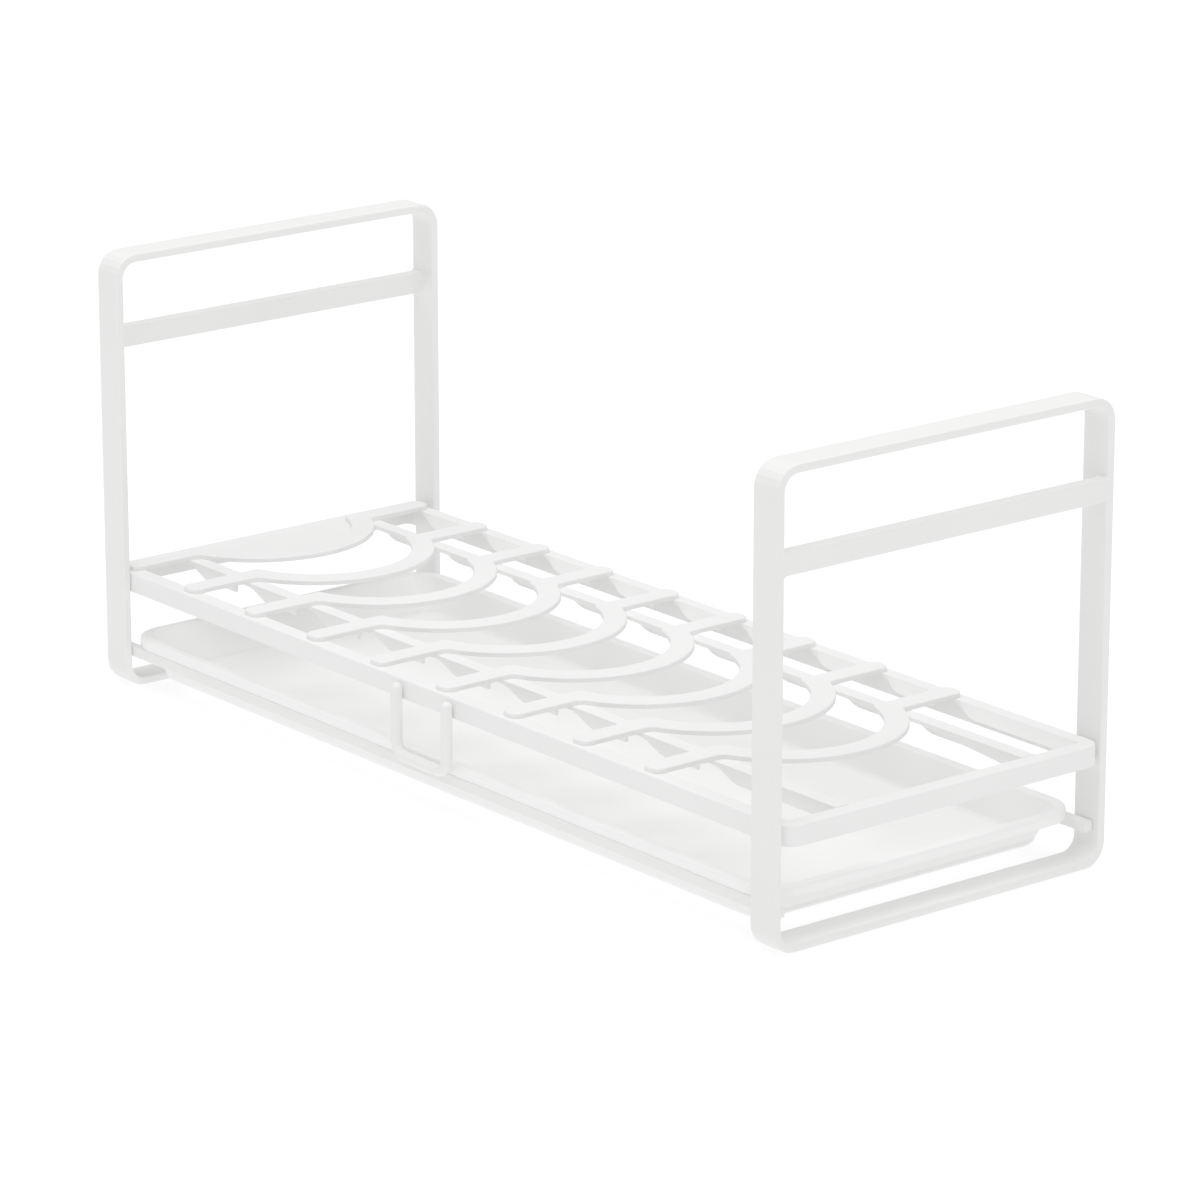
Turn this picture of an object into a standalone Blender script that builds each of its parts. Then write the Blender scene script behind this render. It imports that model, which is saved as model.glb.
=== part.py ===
"""Bowl rack: two flat-bar end frames carry a bowl plate of curved crossbars above a pull-out drip tray.

Metres, +Z up, +X along the length. The origin is on the ground, midway between the frames.
"""
import math

import bmesh
import bpy
from mathutils import Vector

# Clearances
SEAT_GAP = 0.0003          # left between two pieces that are welded or rest on each other
TRAY_SIDE_PLAY = 0.0008    # between the tray's hem and the frame's posts

# End frames, bent from flat bar
FRAME_SPAN = 0.375         # outer face to outer face, along X
FRAME_WIDTH = 0.144        # across Y
FRAME_HEIGHT = 0.161
BAR_WIDTH = 0.012
BAR_THICKNESS = 0.003
FRAME_CORNER = 0.0085      # outer radius of each bend
BAR_EDGE = 0.0006

# Grip bars
GRIP_DROP = 0.0278         # from the top of the frame to the top of the grip
GRIP_HEIGHT = 0.0078
GRIP_THICKNESS = 0.0049
GRIP_EDGE = 0.0005

# Rim of the bowl plate, a folded channel
PLATE_TOP = 0.0434
SHEET = 0.001
SKIRT_HEIGHT = 0.0071
RIM_OVERHANG = 0.002       # past the frames' outer faces
RIM_CORNER = 0.007
RIM_FOLD = 0.0008          # outer radius of the fold between flange and skirt
FLANGE_WIDTH = 0.0058
FOLD_GAP = 0.0002          # between the lip and the edge turned up behind it
PANEL_LAP = 0.0025         # how far the left end panel reaches under the first arc

# Folded lips of rim and mid rails: shallow under each crossbar, deep in the bay after it
LIP_START = 0.0004         # below the sheet, where the lip is shallow
RIM_LIP_DROP = 0.00265     # further down, where the rim's lip is deep
RIM_LIP_LEAN = 0.00265     # and inward, so that it slopes
MID_LIP_DROP = 0.0039      # further down, where the mid rails' outer lips are deep
LIP_RUN = 0.012            # length of the curve in which it gets deep
LIP_STEP_RUN = 0.0004      # length of the step up, under the next crossbar
INNER_LIP_DROP = 0.004     # the mid rails' inner lips deepen by this much
INNER_LIP_RUN = 0.048      # over this length, from the end of the curve

# Mid rails
MID_RAIL_INNER = 0.0375    # from the middle plane to the inner face
MID_RAIL_WIDTH = 0.0056

# Crossbars
CROSSBAR_COUNT = 9
LAST_BAY = 0.0608          # from the last strap to the rim's right end band
STRAP_WIDTH = 0.0084
STRAP_THICKNESS = 0.0015
STRAP_END_INSET = 0.0017   # from the skirt's outer face
STRAP_END_CORNER = 0.0032
STRAP_EDGE = 0.0003
ARC_RADIUS = 0.0422        # outer edge of the arc
ARC_SETBACK = 0.0159       # its centre, behind the strap's outer edge
ARC_FILLET = 0.003
STRAP_FILLET = 0.002

# Tray rails
TRAY_RAIL_TOP = 0.0155
TRAY_RAIL_HEIGHT = 0.0039
TRAY_RAIL_WIDTH = 0.0035
TRAY_RAIL_END_INSET = 0.0026  # from the frames' outer faces
TRAY_RAIL_EDGE = 0.0005

# Drip tray
TRAY_LENGTH = 0.362
TRAY_SHEET = 0.001
TRAY_DEPTH = 0.0147
TRAY_HEM_HEIGHT = 0.0034
TRAY_FLANGE = 0.0045
TRAY_CORNER = 0.014        # flange's outer corner, seen from above
TRAY_SIDE_DRAFT = 0.0014   # how far the long walls lean in
TRAY_END_DRAFT = 0.008     # how far the end walls lean in
TRAY_FLOOR_FILLET = 0.003
TRAY_LIP_FILLET = 0.0008

# Side stirrup, bent from round wire
STIRRUP_WIRE = 0.0041
STIRRUP_SPAN = 0.0281      # between the middles of its legs
STIRRUP_OFFSET = 0.0016    # of its middle from the rack's middle, along X
STIRRUP_TOP_DROP = 0.001   # from the plate's top to the tips of the legs
STIRRUP_FOOT_RISE = 0.0014  # middle of its lower bar above the top of the tray rail
STIRRUP_BEND = 0.005

# Counts of facets
CORNER_STEPS = 6
FOLD_STEPS = 2
ARC_STEPS = 22
FILLET_STEPS = 3
LIP_STEPS = 4
PANEL_STEPS = 14
WIRE_SIDES = 12
DOME_STEPS = 3
DOME_FLAT = 13             # half the angle left flat at the tip of a dome

# Powder coat: near white, matte
COAT_COLOUR = (0.86, 0.86, 0.855, 1.0)
COAT_ROUGHNESS = 0.55

# Places worked out from the sizes above
HALF_SPAN = FRAME_SPAN / 2
POST_INNER = FRAME_WIDTH / 2 - BAR_THICKNESS
BETWEEN_POSTS = POST_INNER - SEAT_GAP
RIM_HALF_LENGTH = HALF_SPAN + RIM_OVERHANG
RIM_INNER_X = RIM_HALF_LENGTH - FLANGE_WIDTH
RETURN_WIDTH = FLANGE_WIDTH - SHEET - FOLD_GAP
LIP_SHALLOW = SHEET + LIP_START
FIRST_STRAP_EDGE = STRAP_WIDTH - RIM_INNER_X
LAST_STRAP_EDGE = RIM_INNER_X - LAST_BAY
CROSSBAR_PITCH = (LAST_STRAP_EDGE - FIRST_STRAP_EDGE) / (CROSSBAR_COUNT - 1)
STRAP_EDGES = [FIRST_STRAP_EDGE + CROSSBAR_PITCH * i for i in range(CROSSBAR_COUNT)]
ARC_INNER_RADIUS = ARC_RADIUS - STRAP_WIDTH


def clear_scene():
    for item in list(bpy.data.objects):
        bpy.data.objects.remove(item, do_unlink=True)


def coat(name):
    """One matte powder-coat material for one piece."""
    material = bpy.data.materials.new(name + "_coat")
    material.use_nodes = True
    shader = material.node_tree.nodes["Principled BSDF"]
    shader.inputs["Base Color"].default_value = COAT_COLOUR
    shader.inputs["Roughness"].default_value = COAT_ROUGHNESS
    shader.inputs["Metallic"].default_value = 0.0
    material.diffuse_color = COAT_COLOUR
    return material


def loft(name, rings, looped=False):
    """Joins rings of equally many points into one closed body."""
    mesh = bmesh.new()
    rows = [[mesh.verts.new(point) for point in ring] for ring in rings]
    pairs = list(zip(rows, rows[1:]))
    if looped:
        pairs.append((rows[-1], rows[0]))
    else:
        mesh.faces.new(rows[0])
        mesh.faces.new(rows[-1])
    for row, following in pairs:
        for i in range(len(row)):
            j = (i + 1) % len(row)
            mesh.faces.new((row[i], row[j], following[j], following[i]))
    bmesh.ops.recalc_face_normals(mesh, faces=mesh.faces[:])
    data = bpy.data.meshes.new(name)
    mesh.to_mesh(data)
    mesh.free()
    data.materials.append(coat(name))
    data.shade_smooth()
    data.set_sharp_from_angle(angle=math.radians(35))
    piece = bpy.data.objects.new(name, data)
    bpy.context.scene.collection.objects.link(piece)
    return piece


def round_edges(piece, width, segments):
    bevel = piece.modifiers.new("rounded_edges", "BEVEL")
    bevel.width = width
    bevel.segments = segments
    bevel.limit_method = "ANGLE"
    bevel.angle_limit = math.radians(40)


def arc(centre, radius, start, end, steps):
    """Points on a circle in a plane, angles in degrees, both ends included."""
    points = []
    for i in range(steps + 1):
        angle = math.radians(start + (end - start) * i / steps)
        points.append((centre[0] + radius * math.cos(angle), centre[1] + radius * math.sin(angle)))
    return points


def rounded_rectangle(half_u, half_v, radius, steps=CORNER_STEPS):
    """Corner arcs of a rectangle, anticlockwise from the lower right."""
    u, v = half_u - radius, half_v - radius
    points = []
    for centre, start in (((u, -v), -90), ((u, v), 0), ((-u, v), 90), ((-u, -v), 180)):
        points += arc(centre, radius, start, start + 90, steps)
    return points


def box(name, low, high):
    """A plain bar between two corners."""
    rings = []
    for x in (low[0], high[0]):
        rings.append([(x, low[1], low[2]), (x, high[1], low[2]), (x, high[1], high[2]), (x, low[1], high[2])])
    return loft(name, rings)


# End frames

def end_frame(name, side):
    """A ring of flat bar that stands across the rack at one end; side is -1 or +1."""
    middle = FRAME_HEIGHT / 2
    outline = rounded_rectangle(FRAME_WIDTH / 2, middle, FRAME_CORNER)
    inside = rounded_rectangle(FRAME_WIDTH / 2 - BAR_THICKNESS, middle - BAR_THICKNESS, FRAME_CORNER - BAR_THICKNESS)
    outer_x = side * HALF_SPAN
    inner_x = side * (HALF_SPAN - BAR_WIDTH)
    rings = []
    for (y, z), (inner_y, inner_z) in zip(outline, inside):
        rings.append([
            (outer_x, y, z + middle), (inner_x, y, z + middle),
            (inner_x, inner_y, inner_z + middle), (outer_x, inner_y, inner_z + middle)])
    round_edges(loft(name, rings, looped=True), BAR_EDGE, 2)


def grip_bar(name, side):
    """The handle's lower bar, flush with the outer face of its frame."""
    top = FRAME_HEIGHT - GRIP_DROP
    ends = sorted((side * HALF_SPAN, side * (HALF_SPAN - GRIP_THICKNESS)))
    bar = box(name, (ends[0], -BETWEEN_POSTS, top - GRIP_HEIGHT), (ends[1], BETWEEN_POSTS, top))
    round_edges(bar, GRIP_EDGE, 2)


# Bowl plate: lips, rim and mid rails

def lip_stations(start, end):
    """Places along X, how far the lip has swung down at each, 0 to 1, and how long it has run level.

    In each bay it swings down in an S and runs level up to the next crossbar.
    """
    stations = [(start, 0, 0)]
    bay_ends = [edge - STRAP_WIDTH for edge in STRAP_EDGES[1:]] + [end - LIP_STEP_RUN]
    for edge, bay_end in zip(STRAP_EDGES, bay_ends):
        run = min(LIP_RUN, (bay_end - edge) / 2)
        for step in range(LIP_STEPS + 1):
            share = step / LIP_STEPS
            stations.append((edge + run * share, share ** 2 * (3 - 2 * share), 0))
        stations.append((bay_end, 1, bay_end - edge - run))
        stations.append((bay_end + LIP_STEP_RUN, 0, 0))
    return stations


def rim_section(outer, inward, inner, outward, swing=0):
    """Section of the rim: rounded fold, skirt, return, upturned edge, flange and lip, as points in space.

    outer is a point on the skirt's face and inner one on the flange's inner edge, both seen from above.
    swing is how far the lip has swung down, 0 to 1.
    """
    def at(point, direction, distance, height):
        place = point + direction * distance
        return (place.x, place.y, height)

    foot = PLATE_TOP - SKIRT_HEIGHT
    upturn = PLATE_TOP - SHEET - SEAT_GAP
    lip = LIP_SHALLOW + RIM_LIP_DROP * swing
    lean = RIM_LIP_LEAN * swing
    section = [at(inner, outward, 0, PLATE_TOP)]
    for u, v in arc((RIM_FOLD, PLATE_TOP - RIM_FOLD), RIM_FOLD, 90, 180, FOLD_STEPS):
        section.append(at(outer, inward, u, v))
    section.append(at(outer, inward, 0, foot))
    section.append(at(outer, inward, RETURN_WIDTH, foot))
    section.append(at(outer, inward, RETURN_WIDTH, upturn))
    section.append(at(outer, inward, RETURN_WIDTH - SHEET, upturn))
    section.append(at(outer, inward, RETURN_WIDTH - SHEET, foot + SHEET))
    section.append(at(outer, inward, SHEET, foot + SHEET))
    section.append(at(outer, inward, SHEET, PLATE_TOP - SHEET))
    section.append(at(inner, outward, SHEET, PLATE_TOP - SHEET))
    section.append(at(inner, outward, SHEET - lean, PLATE_TOP - lip))
    section.append(at(inner, outward, -lean, PLATE_TOP - lip))
    return section


def rim_side(side):
    """Stations along one long side of the rim; side is -1 for near and +1 for far."""
    inward = Vector((0, -side))
    sections = []
    straight = RIM_HALF_LENGTH - RIM_CORNER
    for x, swing, _ in lip_stations(-straight, straight):
        outer = Vector((x, side * BETWEEN_POSTS))
        sections.append(rim_section(outer, inward, outer + inward * FLANGE_WIDTH, -inward, swing))
    return sections


def rim_corner(side_x, side_y, start):
    """Stations round one corner of the rim, leaving out both ends of the bend."""
    centre = Vector((side_x * (RIM_HALF_LENGTH - RIM_CORNER), side_y * (BETWEEN_POSTS - RIM_CORNER)))
    sections = []
    for i in range(CORNER_STEPS + 1):
        angle = math.radians(start + 90 * i / CORNER_STEPS)
        out = Vector((math.cos(angle), math.sin(angle)))
        inner = centre + out * (RIM_CORNER - FLANGE_WIDTH)
        sections.append(rim_section(centre + out * RIM_CORNER, -out, inner, out))
    return sections


def end_panel():
    """Stations down the left end, where the flange widens into a D-shaped panel under the first arc."""
    radius = ARC_INNER_RADIUS + PANEL_LAP
    centre = Vector((STRAP_EDGES[0] - ARC_SETBACK, 0))
    widest = math.degrees(math.acos((-RIM_INNER_X - centre.x) / radius))
    sections = []
    for u, v in arc((0, 0), radius, widest, -widest, PANEL_STEPS):
        out = Vector((u, v)).normalized()
        sections.append(rim_section(Vector((-RIM_HALF_LENGTH, v)), Vector((1, 0)), centre + Vector((u, v)), -out))
    return sections


def rack_rim():
    near, far = rim_side(-1), rim_side(1)
    sections = near[:-1]
    sections += rim_corner(1, -1, -90) + rim_corner(1, 1, 0)
    sections += far[-2:0:-1]
    sections += rim_corner(-1, 1, 90) + end_panel() + rim_corner(-1, -1, 180)[:-1]
    loft("rack_rim", sections, looped=True)


def mid_rail(name, side):
    """Inverted channel with a lip down each edge, between the rim's end bands."""
    low = MID_RAIL_INNER
    high = MID_RAIL_INNER + MID_RAIL_WIDTH
    sections = []
    end = RIM_INNER_X - SEAT_GAP
    under = PLATE_TOP - SHEET
    for x, swing, level in lip_stations(-end, end):
        outer_foot = PLATE_TOP - LIP_SHALLOW - MID_LIP_DROP * swing
        inner_foot = PLATE_TOP - LIP_SHALLOW - INNER_LIP_DROP * level / INNER_LIP_RUN
        outline = [(low, PLATE_TOP), (high, PLATE_TOP), (high, outer_foot), (high - SHEET, outer_foot),
                   (high - SHEET, under), (low + SHEET, under), (low + SHEET, inner_foot), (low, inner_foot)]
        sections.append([(x, side * y, z) for y, z in outline])
    loft(name, sections)


# Crossbars

def crossbar_outline(edge):
    """A strap along Y whose middle is an arc bowed towards +X; edge is the strap's outer edge."""
    centre_x = edge - ARC_SETBACK
    end = BETWEEN_POSTS - STRAP_END_INSET
    back = edge - STRAP_WIDTH
    outer = outer_edge(edge, centre_x)
    inner = inner_edge(back, centre_x)
    corner = STRAP_END_CORNER
    points = [(x, -y) for x, y in reversed(outer)] + outer
    points += arc((edge - corner, end - corner), corner, 0, 90, FILLET_STEPS)
    points += arc((back + corner, end - corner), corner, 90, 180, FILLET_STEPS)
    points += list(reversed(inner)) + [(x, -y) for x, y in inner]
    points += arc((back + corner, corner - end), corner, 180, 270, FILLET_STEPS)
    points += arc((edge - corner, corner - end), corner, 270, 360, FILLET_STEPS)
    return points


def outer_edge(edge, centre_x):
    """Upper half of the outer edge, from just above the middle to the end of its fillet."""
    fillet_x = ARC_SETBACK + ARC_FILLET
    fillet_y = math.sqrt((ARC_RADIUS + ARC_FILLET) ** 2 - fillet_x ** 2)
    meets = math.degrees(math.atan2(fillet_y, fillet_x))
    half = arc((centre_x, 0), ARC_RADIUS, meets / ARC_STEPS, meets, ARC_STEPS // 2)
    fillet = arc((edge + ARC_FILLET, fillet_y), ARC_FILLET, meets + 180, 180, FILLET_STEPS)
    return half + fillet[1:]


def inner_edge(back, centre_x):
    """Upper half of the inner edge, from just above the middle to the end of its fillet."""
    fillet_x = back + STRAP_FILLET - centre_x
    fillet_y = math.sqrt((ARC_INNER_RADIUS + STRAP_FILLET) ** 2 - fillet_x ** 2)
    meets = math.degrees(math.atan2(fillet_y, fillet_x))
    half = arc((centre_x, 0), ARC_INNER_RADIUS, meets / ARC_STEPS, meets, ARC_STEPS // 2)
    fillet = arc((back + STRAP_FILLET, fillet_y), STRAP_FILLET, meets - 180, -180, FILLET_STEPS)
    return half + fillet[1:]


def crossbar(name, edge):
    """One strap, laid on the rim and the mid rails."""
    outline = crossbar_outline(edge)
    bottom = PLATE_TOP + SEAT_GAP
    rings = [[(x, y, z) for x, y in outline] for z in (bottom, bottom + STRAP_THICKNESS)]
    round_edges(loft(name, rings), STRAP_EDGE, 1)


# Tray rails and side stirrup

def tray_rail(name, side):
    """Bar that the tray's hem slides on, welded between the posts of the two frames."""
    end = HALF_SPAN - TRAY_RAIL_END_INSET
    sides = sorted((side * BETWEEN_POSTS, side * (BETWEEN_POSTS - TRAY_RAIL_WIDTH)))
    rail = box(name, (-end, sides[0], TRAY_RAIL_TOP - TRAY_RAIL_HEIGHT), (end, sides[1], TRAY_RAIL_TOP))
    round_edges(rail, TRAY_RAIL_EDGE, 2)


def stirrup_path():
    """Middle line of the wire in X and Z: down one leg, along the foot and up the other."""
    low = STIRRUP_OFFSET - STIRRUP_SPAN / 2
    high = STIRRUP_OFFSET + STIRRUP_SPAN / 2
    tip = PLATE_TOP - STIRRUP_TOP_DROP - STIRRUP_WIRE / 2
    bend = STIRRUP_BEND
    path = [(low, tip)]
    base = TRAY_RAIL_TOP + STIRRUP_FOOT_RISE
    path += arc((low + bend, base + bend), bend, 180, 270, CORNER_STEPS)
    path += arc((high - bend, base + bend), bend, 270, 360, CORNER_STEPS)
    path.append((high, tip))
    return path


def side_stirrup():
    """U of round wire with domed tips, outside the near skirt and the near tray rail."""
    radius = STIRRUP_WIRE / 2
    y = -(BETWEEN_POSTS + SEAT_GAP + radius)
    path = [Vector(point) for point in stirrup_path()]
    stops = []
    for i, point in enumerate(path):
        before = (point - path[i - 1]).normalized() if i else Vector((0, -1))
        after = (path[i + 1] - point).normalized() if i < len(path) - 1 else Vector((0, 1))
        stops.append((point, (before + after).normalized(), radius))
    domes = arc((0, 0), radius, DOME_FLAT, 90, DOME_STEPS)[:-1]
    start = [(path[0] + Vector((0, rise)), Vector((0, -1)), width) for rise, width in domes]
    finish = [(path[-1] + Vector((0, rise)), Vector((0, 1)), width) for rise, width in reversed(domes)]
    rings = []
    for point, along, width in start + stops + finish:
        side = Vector((-along.y, along.x))
        ring = []
        for k in range(WIRE_SIDES):
            turn = math.tau * k / WIRE_SIDES
            place = point + side * (width * math.cos(turn))
            ring.append((place.x, y + width * math.sin(turn), place.y))
        rings.append(ring)
    loft("side_stirrup", rings)


# Drip tray

def tray_sections():
    """Half length, half width, corner radius and height of each line round the pan.

    They run from the underside of the floor out to the hem and back to the top of the floor.
    """
    top = TRAY_RAIL_TOP + SEAT_GAP + TRAY_HEM_HEIGHT
    bottom = top - TRAY_DEPTH
    half_x = TRAY_LENGTH / 2
    half_y = POST_INNER - TRAY_SIDE_PLAY
    mouth = TRAY_FLANGE
    sections = []

    def line(inset, side_lean, end_lean, height):
        """inset is from the flange's outer edge; the leans are added on the walls."""
        corner = TRAY_CORNER - inset - side_lean / 2
        sections.append((half_x - inset - end_lean, half_y - inset - side_lean, corner, height))

    fillet = TRAY_FLOOR_FILLET
    for u, v in arc((0, 0), fillet, 270, 360, FILLET_STEPS):
        line(mouth - TRAY_SHEET + fillet - u, TRAY_SIDE_DRAFT, TRAY_END_DRAFT, bottom + fillet + v)
    line(mouth - TRAY_SHEET, 0, 0, top - TRAY_SHEET)
    line(TRAY_SHEET, 0, 0, top - TRAY_SHEET)
    line(TRAY_SHEET, 0, 0, top - TRAY_HEM_HEIGHT)
    line(0, 0, 0, top - TRAY_HEM_HEIGHT)
    lip = TRAY_LIP_FILLET
    for u, v in arc((lip, top - lip), lip, 180, 90, FOLD_STEPS):
        line(u, 0, 0, v)
    for u, v in arc((mouth - lip, top - lip), lip, 90, 0, FOLD_STEPS):
        line(u, 0, 0, v)
    inner = fillet - TRAY_SHEET
    for u, v in arc((0, 0), inner, 360, 270, FILLET_STEPS):
        line(mouth + inner - u, TRAY_SIDE_DRAFT, TRAY_END_DRAFT, bottom + fillet + v)
    return sections


def drip_tray():
    rings = []
    for half_x, half_y, corner, height in tray_sections():
        rings.append([(x, y, height) for x, y in rounded_rectangle(half_x, half_y, corner)])
    loft("drip_tray", rings)


def build():
    clear_scene()
    end_frame("left_end_frame", -1)
    end_frame("right_end_frame", 1)
    grip_bar("left_grip_bar", -1)
    grip_bar("right_grip_bar", 1)
    rack_rim()
    mid_rail("near_mid_rail", -1)
    mid_rail("far_mid_rail", 1)
    for i, edge in enumerate(STRAP_EDGES):
        crossbar("crossbar_" + str(i + 1), edge)
    tray_rail("near_tray_rail", -1)
    tray_rail("far_tray_rail", 1)
    side_stirrup()
    drip_tray()


build()
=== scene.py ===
# %% [markdown]
# # A bowl rack in matte white powder coat
#
# The rack is two hoops of flat steel bar that carry a pressed plate of curved crossbars, with a shallow
# drip tray that slides out below. Every part is mild steel, cut, bent and welded, then sprayed with powder
# and baked. This lesson dresses the steel: it starts from the solid model, which fixes every size, and gives
# each piece its finish, its light and its view.

import math

import bmesh
import bpy
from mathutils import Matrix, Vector


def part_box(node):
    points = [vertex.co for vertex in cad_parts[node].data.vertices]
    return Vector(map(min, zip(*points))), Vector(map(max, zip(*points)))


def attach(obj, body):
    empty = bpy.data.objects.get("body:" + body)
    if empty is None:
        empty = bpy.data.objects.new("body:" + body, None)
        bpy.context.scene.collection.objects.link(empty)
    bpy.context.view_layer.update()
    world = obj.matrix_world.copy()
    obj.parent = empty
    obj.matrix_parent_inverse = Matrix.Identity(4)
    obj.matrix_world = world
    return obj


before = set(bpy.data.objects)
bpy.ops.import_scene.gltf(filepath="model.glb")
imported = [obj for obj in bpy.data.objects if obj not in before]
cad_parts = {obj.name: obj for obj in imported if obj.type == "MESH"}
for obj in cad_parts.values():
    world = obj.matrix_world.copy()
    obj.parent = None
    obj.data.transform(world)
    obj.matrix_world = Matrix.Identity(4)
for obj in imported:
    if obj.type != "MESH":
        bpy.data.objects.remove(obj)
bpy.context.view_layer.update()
print("pieces in the frame:", len(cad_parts))

# %% [markdown]
# A maker's drawing is in millimetres and Blender works in metres, so one value turns one into the other.
# Colours are picked from paint charts as sRGB hex. Blender's shaders add up light, which is linear, so one
# function undoes the sRGB curve.

# %% Units and colours
MM = 0.001


def linear(hex_colour):
    channels = [int(hex_colour[i:i + 2], 16) / 255 for i in (1, 3, 5)]
    curve = [c / 12.92 if c <= 0.04045 else ((c + 0.055) / 1.055) ** 2.4 for c in channels]
    return (*curve, 1.0)


# %% [markdown]
# A material is a small network of nodes. Writing out each node takes four or five lines, so one function
# adds a node of any kind, sets its options and the values of its sockets, and links the sockets that take
# another node's output. A second function puts an object into the scene.

# %% Two helpers: one adds a node, one adds an object


def node(tree, kind, inputs=None, **settings):
    made = tree.nodes.new(kind)
    for name, value in settings.items():
        setattr(made, name, value)
    for name, value in (inputs or {}).items():
        if isinstance(value, bpy.types.NodeSocket):
            tree.links.new(value, made.inputs[name])
        else:
            made.inputs[name].default_value = value
    return made


def add_object(name, data):
    made = bpy.data.objects.new(name, data)
    bpy.context.scene.collection.objects.link(made)
    return made


# %% [markdown]
# Powder coat is a plastic film about 0.08 mm thick, melted onto the steel. It never flows quite flat: the
# skin has a faint ripple called orange peel, with waves 1 to 3 mm apart, and a finer grain left by the
# matting agent, which spreads each highlight wide and soft. The grain is drawn coarser than the real one, so
# that it shows. The film pulls thin on sharp edges and lies thicker in corners; here the white only drifts a
# little from place to place, at random, and follows no edge. Polyester, the usual powder, has an index of
# refraction of about 1.5.

# %% The powder coat
PEEL = 1.6 * MM
PEEL_DEPTH = 0.02 * MM
GRAIN = 0.45 * MM
GRAIN_DEPTH = 0.01 * MM
BUMP_STRENGTH = 0.5
DRIFT = 40 * MM
DRIFT_FROM = 0.35
DRIFT_TO = 0.65
THIN_FILM_SHARE = 0.975
GLOSS_SWING = 0.05
POLYESTER_IOR = 1.5


def powder_coat(name, hex_colour, roughness, seed=0.0):
    material = bpy.data.materials.new(name)
    material.use_nodes = True
    tree = material.node_tree
    shader = tree.nodes["Principled BSDF"]
    place = node(tree, "ShaderNodeTexCoord").outputs["Object"]
    shift = (seed, seed, seed)
    spot = node(tree, "ShaderNodeVectorMath", {0: place, 1: shift}, operation="ADD").outputs[0]
    peel = node(tree, "ShaderNodeTexNoise", {"Vector": spot, "Scale": 1 / PEEL, "Detail": 1.5})
    grain = node(tree, "ShaderNodeTexNoise", {"Vector": spot, "Scale": 1 / GRAIN, "Detail": 2.0})
    drift = node(tree, "ShaderNodeTexNoise", {"Vector": spot, "Scale": 1 / DRIFT, "Detail": 2.0})
    thick_colour = linear(hex_colour)
    thin_colour = (*(THIN_FILM_SHARE * c for c in thick_colour[:3]), 1.0)
    ramp = node(tree, "ShaderNodeValToRGB", {"Fac": drift.outputs["Fac"]})
    thin_end, thick_end = ramp.color_ramp.elements
    thin_end.position = DRIFT_FROM
    thin_end.color = thin_colour
    thick_end.position = DRIFT_TO
    thick_end.color = thick_colour
    rough = node(tree, "ShaderNodeMapRange", {
        "Value": grain.outputs["Fac"], "From Min": 0.3, "From Max": 0.7,
        "To Min": roughness - GLOSS_SWING, "To Max": roughness + GLOSS_SWING})
    ripple = node(tree, "ShaderNodeBump", {
        "Height": peel.outputs["Fac"], "Distance": PEEL_DEPTH, "Strength": BUMP_STRENGTH})
    skin = node(tree, "ShaderNodeBump", {
        "Height": grain.outputs["Fac"], "Distance": GRAIN_DEPTH, "Strength": BUMP_STRENGTH,
        "Normal": ripple.outputs["Normal"]})
    tree.links.new(ramp.outputs["Color"], shader.inputs["Base Color"])
    tree.links.new(rough.outputs["Result"], shader.inputs["Roughness"])
    tree.links.new(skin.outputs["Normal"], shader.inputs["Normal"])
    shader.inputs["IOR"].default_value = POLYESTER_IOR
    shader.inputs["Metallic"].default_value = 0.0
    return material


bar_coat = powder_coat("powder_coat_on_flat_bar", "#E4E4E2", 0.5)
sheet_coat = powder_coat("powder_coat_on_pressed_sheet", "#E6E6E5", 0.48, seed=3.0)
# The tray's white is painted lighter than the rack's: the extra brightness is painted light, standing in for
# the light that fills the tray floor under the bowl plate.
tray_coat_painted_lighter = powder_coat("powder_coat_on_tray_painted_lighter", "#F6F6F5", 0.45, seed=7.0)
wire_coat = powder_coat("powder_coat_on_round_wire", "#E4E4E2", 0.5, seed=11.0)
print("coats:", [coat.name for coat in (bar_coat, sheet_coat, tray_coat_painted_lighter, wire_coat)])

# %% [markdown]
# The solids already have the right shapes, so each keeps its mesh and takes its finish by what it was made
# from; the tray's coat is a lighter white, painted light that stands in for the light filling the tray under
# the plate.

# %% Finish for each piece
crossbars = [name for name in sorted(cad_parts) if name.startswith("crossbar_")]
finish_for_pieces = {
    bar_coat: ("left_end_frame", "right_end_frame", "left_grip_bar", "right_grip_bar", "near_tray_rail",
               "far_tray_rail"),
    sheet_coat: ("rack_rim", "near_mid_rail", "far_mid_rail", *crossbars),
    tray_coat_painted_lighter: ("drip_tray",),
    wire_coat: ("side_stirrup",),
}
for finish, names in finish_for_pieces.items():
    for name in names:
        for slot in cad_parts[name].material_slots:
            slot.material = finish
    print(finish.name, "on", len(names), "pieces")

# %% [markdown]
# Where two pieces are welded, the solid model leaves a hairline of 0.3 mm between them. On the real rack the
# powder melts into such a line and bridges it. Each crossbar gets a thin bed in its own outline, which fills
# the line and reaches past the bevel of the strap above it. The bed starts a hair above the rim, and only its
# upright sides grow outward.

# %% Powder in the hairline under each crossbar
HAIRLINE = 0.3 * MM
BEVEL = 0.3 * MM
GROWTH = 0.04 * MM
BED_LIFT = 0.02 * MM
UPRIGHT_SHARE = 0.1
bed_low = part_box("rack_rim")[1].z + BED_LIFT
bed_high = bed_low + HAIRLINE + BEVEL


def powder_bed(name, strap):
    mesh = strap.data.copy()
    mesh.name = name
    low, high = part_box(strap.name)
    middle = (low.z + high.z) / 2
    for vertex, normal in zip(mesh.vertices, [v.normal.copy() for v in mesh.vertices]):
        flat = Vector((normal.x, normal.y, 0))
        if flat.length > UPRIGHT_SHARE:
            vertex.co += flat.normalized() * GROWTH
        vertex.co.z = bed_low if vertex.co.z < middle else bed_high
    mesh.materials.clear()
    mesh.materials.append(sheet_coat)
    bed = add_object(name, mesh)
    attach(bed, "rack")


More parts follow.
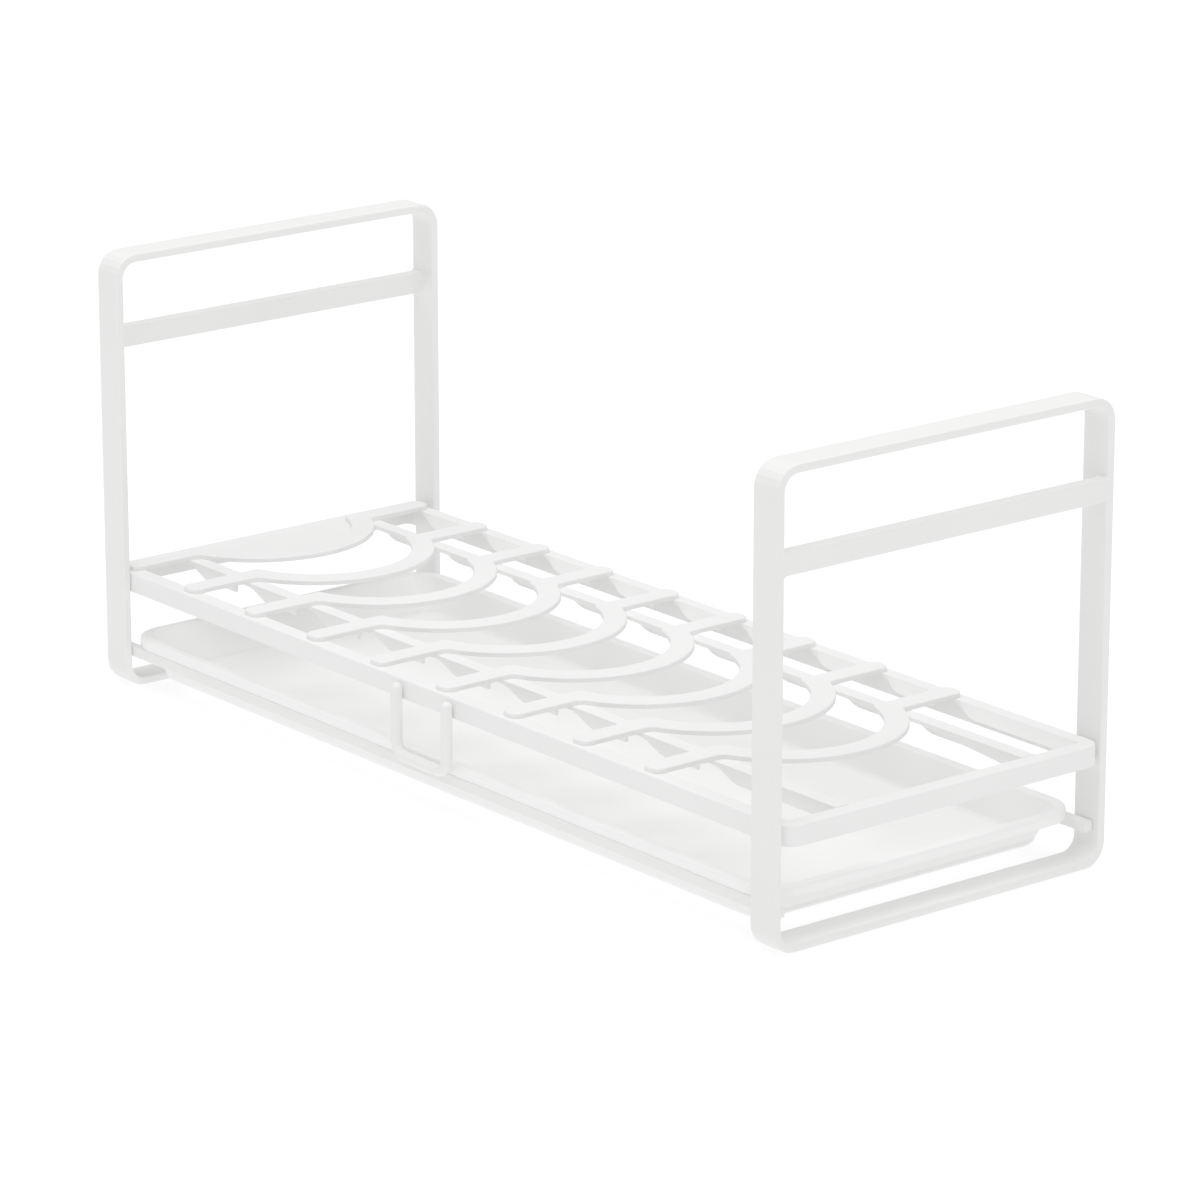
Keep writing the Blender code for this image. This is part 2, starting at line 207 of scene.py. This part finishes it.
for name in crossbars:
    powder_bed("powder_bed_" + name.split("_")[1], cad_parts[name])
print("powder beds:", len(crossbars), "each", round((bed_high - bed_low) / MM, 2), "mm thick")

# %% [markdown]
# Powder also gathers on a cut edge. The foot of the tray's hem is such an edge, and its bead is what slides
# on the rails: a thin ring round the tray, whose rounded-rectangle path has a quarter turn at each corner.
# The ring is lofted: five nested paths, joined by bands of faces. The bead's section is a flat curve, given
# as shares of the hem's width and of the bead's depth.

# %% Bead on the foot of the tray's hem
HEM = 1.0 * MM
BEAD = 0.27 * MM
TRAY_CORNER = 14 * MM
CORNER_STEPS = 8
BEAD_SECTION_SHARES = ((0, 0), (0.15, 0.8), (0.5, 1), (0.85, 0.8), (1, 0))


def rounded_path(half_x, half_y, radius):
    path = []
    for quarter, (sx, sy) in enumerate(((1, -1), (1, 1), (-1, 1), (-1, -1))):
        for step in range(CORNER_STEPS + 1):
            angle = math.radians(90 * (quarter - 1 + step / CORNER_STEPS))
            path.append((sx * (half_x - radius) + radius * math.cos(angle),
                         sy * (half_y - radius) + radius * math.sin(angle)))
    return path


def bands(count, pairs):
    faces = []
    for lower, upper in pairs:
        for i in range(count):
            j = (i + 1) % count
            faces.append((lower * count + i, lower * count + j, upper * count + j, upper * count + i))
    return faces


def hem_bead():
    tray_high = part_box("drip_tray")[1]
    rail_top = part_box("near_tray_rail")[1].z
    foot = rail_top + HAIRLINE
    rings = []
    for inset_share, drop_share in BEAD_SECTION_SHARES:
        inset = inset_share * HEM
        outline = rounded_path(tray_high.x - inset, tray_high.y - inset, TRAY_CORNER - inset)
        rings.append([(x, y, foot - drop_share * BEAD) for x, y in outline])
    points = [point for ring in rings for point in ring]
    pairs = [(level, (level + 1) % len(rings)) for level in range(len(rings))]
    mesh = bpy.data.meshes.new("hem_bead")
    mesh.from_pydata(points, [], bands(len(rings[0]), pairs))
    mesh.shade_smooth()
    mesh.materials.append(tray_coat_painted_lighter)
    bead = add_object("hem_bead", mesh)
    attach(bead, "tray")
    return bead


print("hem bead, mm:", [round(side / MM, 1) for side in hem_bead().dimensions])

# %% [markdown]
# A grip bar is butt-welded between two posts, flush with the frame's outer face. The weld is ground down and
# the powder rounds what is left, so the bar seems to grow out of the post in a small hollow curve. Each end
# gets one: a sleeve in the bar's own section that flares up, down and inwards, then bites a little way into
# the post as molten steel does, which also fills the groove along the post's rounded edge.

# %% Welds at the ends of the grip bars
WELD_REACH = 1.0 * MM
WELD_FLARE = 0.6 * MM
WELD_BITE = 0.8 * MM
WELD_EDGE = 0.3 * MM
WELD_STEPS = 5
SHARP_ANGLE = math.radians(50)


def weld_profile(post_face):
    profile = []
    for step in range(WELD_STEPS + 1):
        turn = math.radians(90 * step / WELD_STEPS)
        reach = post_face - WELD_REACH * (1 - math.sin(turn))
        profile.append((reach, WELD_FLARE * (1 - math.cos(turn))))
    profile.append((post_face + WELD_BITE, WELD_FLARE))
    return profile


def grip_weld(name, grip, side):
    low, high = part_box(grip)
    outward = 1 if high.x > 0 else -1
    rings = []
    for reach, flare in weld_profile(high.y + HAIRLINE):
        half_x = (high.x - low.x + flare) / 2 + GROWTH
        half_z = (high.z - low.z) / 2 + flare + GROWTH
        middle_x = (low.x + high.x - outward * flare) / 2
        outline = rounded_path(half_x, half_z, WELD_EDGE)
        rings.append([(middle_x + u, side * reach, (low.z + high.z) / 2 + v) for u, v in outline])
    count = len(rings[0])
    points = [point for ring in rings for point in ring]
    caps = [tuple(range(count)), tuple(range(len(points) - count, len(points)))]
    pairs = [(level, level + 1) for level in range(len(rings) - 1)]
    mesh = bpy.data.meshes.new(name)
    mesh.from_pydata(points, [], caps + bands(count, pairs))
    shell = bmesh.new()
    shell.from_mesh(mesh)
    bmesh.ops.recalc_face_normals(shell, faces=shell.faces[:])
    shell.to_mesh(mesh)
    shell.free()
    mesh.shade_smooth()
    mesh.set_sharp_from_angle(angle=SHARP_ANGLE)
    mesh.materials.append(bar_coat)
    weld = add_object(name, mesh)
    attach(weld, "rack")


for grip in ("left_grip_bar", "right_grip_bar"):
    for side, place in ((-1, "near"), (1, "far")):
        grip_weld(grip.replace("grip_bar", place) + "_weld", grip, side)
print("welds flare by", round(WELD_FLARE / MM, 1), "mm and bite", round(WELD_BITE / MM, 1), "mm")

# %% [markdown]
# The photograph was taken with a long lens from the front right, looking down by about 17 degrees. The view
# was solved from the rack's own edges, and its numbers are kept here in metres.

# %% Camera
CAMERA_PLACE = Vector((1.4787, -1.1809, 0.6293))
CAMERA_AIM = Vector((-0.0092, 0.0155, 0.0562))
LENS_MM = 171.48
SENSOR_MM = 36.0
FAR_CLIP = 30
camera_data = bpy.data.cameras.new("camera")
camera_data.lens = LENS_MM
camera_data.sensor_width = SENSOR_MM
camera_data.sensor_height = SENSOR_MM
camera_data.clip_end = FAR_CLIP
camera = add_object("camera", camera_data)
camera.location = CAMERA_PLACE
camera.rotation_euler = (CAMERA_AIM - CAMERA_PLACE).to_track_quat("-Z", "Y").to_euler()
bpy.context.scene.camera = camera
print("camera to aim, m:", round((CAMERA_AIM - CAMERA_PLACE).length, 3))

# %% [markdown]
# The floor is a light table, a sheet of acrylic lit from below: its glow counts for more than its own grey,
# and keeps the ground nearly white under the rack. It lies a hairline below the rack's feet.

# %% Floor
WHITE = (1.0, 1.0, 1.0, 1.0)
FLOOR_REACH = 6.0
FLOOR_GLOW = 0.7
floor_mesh = bpy.data.meshes.new("floor")
floor_corners = [(FLOOR_REACH * sx, FLOOR_REACH * sy, 0) for sx, sy in ((-1, -1), (1, -1), (1, 1), (-1, 1))]
floor_mesh.from_pydata(floor_corners, [], [(0, 1, 2, 3)])
floor = add_object("floor", floor_mesh)
floor.location.z = -HAIRLINE
floor_paint = bpy.data.materials.new("plain_pale_floor")
floor_paint.use_nodes = True
floor_shader = floor_paint.node_tree.nodes["Principled BSDF"]
floor_shader.inputs["Base Color"].default_value = linear("#A8A8A8")
floor_shader.inputs["Roughness"].default_value = 0.9
floor_shader.inputs["Specular IOR Level"].default_value = 0.1
floor_shader.inputs["Emission Color"].default_value = WHITE
floor_shader.inputs["Emission Strength"].default_value = FLOOR_GLOW
floor_mesh.materials.append(floor_paint)
print("floor, m across:", 2 * FLOOR_REACH)

# %% [markdown]
# White on white needs light from every side, and a little more from above. A soft box as wide as a ceiling
# hangs over the rack: it picks out the top faces, and being so wide it lights the tray evenly through the
# bowl plate. A smaller one to the right reaches in under the rim, down to the bottom bar. A plain view
# transform keeps white paint white, and a gamma of 2 lifts every tone towards it, as a high-key photograph
# does.

# %% Light and view
WORLD_STRENGTH = 0.2
HIGH_KEY_GAMMA = 2.0
world = bpy.data.worlds.new("studio")
world.use_nodes = True
sky = world.node_tree.nodes["Background"]
sky.inputs["Color"].default_value = WHITE
sky.inputs["Strength"].default_value = WORLD_STRENGTH
bpy.context.scene.world = world


def soft_lamp(name, place, size, watts):
    data = bpy.data.lights.new(name, "AREA")
    data.shape = "SQUARE"
    data.size = size
    data.energy = watts
    lamp = add_object(name, data)
    lamp.location = place
    lamp.rotation_euler = (-Vector(place)).to_track_quat("-Z", "Y").to_euler()


soft_lamp("overhead", place=(-0.1, -0.15, 2.2), size=3.0, watts=62)
soft_lamp("right", place=(1.7, -0.5, 1.8), size=1.0, watts=8)

view = bpy.context.scene.view_settings
view.view_transform = "Standard"
view.look = "None"
view.exposure = 0.0
view.gamma = HIGH_KEY_GAMMA
